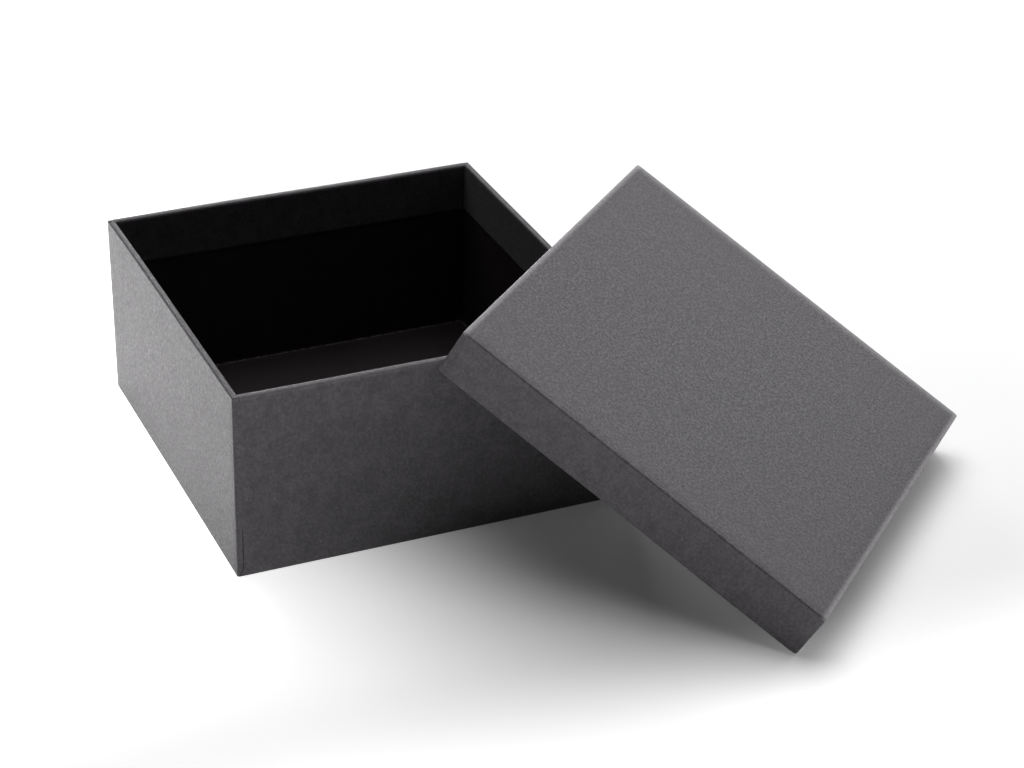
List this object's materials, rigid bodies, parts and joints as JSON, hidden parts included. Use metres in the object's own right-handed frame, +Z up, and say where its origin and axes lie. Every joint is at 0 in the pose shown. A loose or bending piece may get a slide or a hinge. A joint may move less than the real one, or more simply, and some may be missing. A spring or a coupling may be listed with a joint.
{
  "type": "rigid gift box with lift-off lid",
  "caption": "Square two-piece rigid box: paper-covered board base, open, with its lift-off lid leaning on one corner of the rim.",
  "frame": {"origin": "middle of the base's underside, on the surface that the box stands on", "axes": "+Z up, out of the base's open mouth; the base's front wall faces -Y and its right wall +X; the lid lies towards +X and -Y"},
  "size_m": [0.2836, 0.273, 0.0941],
  "materials": {
    "charcoal_wrap_paper": "matte",
    "black_lining_paper": "matte",
    "greyboard": "matte",
    "stay_tape": "matte"
  },
  "bodies": {
    "base": {"base_board_floor": "greyboard", "base_board_front": "greyboard", "base_board_right": "greyboard", "base_board_back": "greyboard", "base_board_left": "greyboard", "base_corner_stay_front_left": "stay_tape", "base_corner_stay_right_front": "stay_tape", "base_corner_stay_back_right": "stay_tape", "base_corner_stay_left_back": "stay_tape", "base_wrap": "charcoal_wrap_paper", "base_wall_lining": "black_lining_paper", "base_floor_lining": "black_lining_paper"},
    "lid": {"lid_board_top": "greyboard", "lid_board_front": "greyboard", "lid_board_left": "greyboard", "lid_board_back": "greyboard", "lid_board_right": "greyboard", "lid_corner_stay_front_right": "stay_tape", "lid_corner_stay_left_front": "stay_tape", "lid_corner_stay_back_left": "stay_tape", "lid_corner_stay_right_back": "stay_tape", "lid_wrap": "charcoal_wrap_paper", "lid_top_lining": "black_lining_paper"}
  },
  "joints": [
    {"name": "lid_lift", "type": "slide", "parent": "base", "child": "lid", "axis": [0, 0, 1], "range_m": [0, 0.16]}
  ]
}
